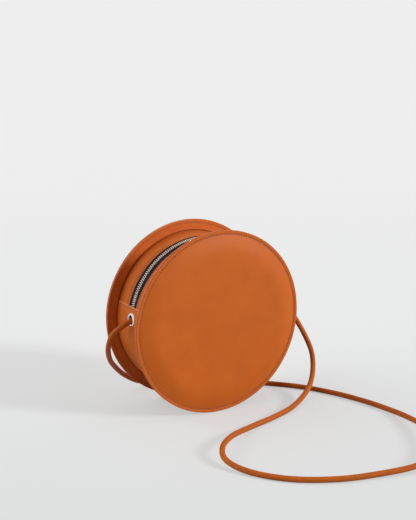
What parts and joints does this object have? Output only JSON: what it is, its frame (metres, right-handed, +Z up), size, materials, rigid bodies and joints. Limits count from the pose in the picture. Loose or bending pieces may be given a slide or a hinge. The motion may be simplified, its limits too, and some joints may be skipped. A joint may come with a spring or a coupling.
{
  "type": "round leather shoulder bag",
  "caption": "Round leather shoulder bag with stiff disc faces, a narrower zipped side strip and a long round leather strap knotted through eyelets.",
  "frame": {"origin": "middle of the bag's footprint, on the surface that its two rims stand on", "axes": "+Z up, +Y to the back along the axis of the two discs, +X to the right as seen from the front; the zip slider is closed at the +X end"},
  "size_m": [0.2552, 0.324, 0.19],
  "materials": {
    "tan_leather": "smooth matte tan leather with a fine grain",
    "strap_leather": "round rolled leather cord, soft sheen",
    "thread": "waxed thread, tone on tone",
    "board": "bonded leather board",
    "lining": "plain cotton",
    "zip_tape": "woven polyester tape, navy black",
    "zip_metal": "nickel plated, polished",
    "eyelet_metal": "nickel plated, bright"
  },
  "bodies": {
    "bag": {"front_panel": "tan_leather", "back_panel": "tan_leather", "front_board": "board", "back_board": "board", "front_lining": "lining", "back_lining": "lining", "front_rim_ring": "tan_leather", "back_rim_ring": "tan_leather", "front_stitches": "thread", "back_stitches": "thread", "lower_strip": "tan_leather", "zip_panel_front": "tan_leather", "zip_panel_back": "tan_leather", "lower_strip_lining": "lining", "zip_lining_front": "lining", "zip_lining_back": "lining", "zip_tape_front": "zip_tape", "zip_tape_back": "zip_tape", "zip_teeth_front": "zip_metal", "zip_teeth_back": "zip_metal", "zip_bottom_stop": "zip_metal", "zip_top_stops": "zip_metal", "eyelet_left": "eyelet_metal", "eyelet_right": "eyelet_metal", "eyelet_washer_left": "eyelet_metal", "eyelet_washer_right": "eyelet_metal", "strap": "strap_leather", "knot_left": "strap_leather", "knot_right": "strap_leather"},
    "slider": {"zip_slider": "zip_metal"},
    "pull": {"zip_pull": "zip_metal"}
  },
  "joints": [
    {"name": "zip_slide", "type": "hinge", "parent": "bag", "child": "slider", "pos_m": [0, 0, 0.095], "axis": [0, -1, 0], "range_deg": [0, 144], "deforming": ["zip_teeth_front", "zip_teeth_back"]},
    {"name": "pull_swing", "type": "hinge", "parent": "slider", "child": "pull", "pos_m": [0.08099, 0.0028, 0.1213], "axis": [0, -1, 0], "range_deg": [0, 180]}
  ]
}
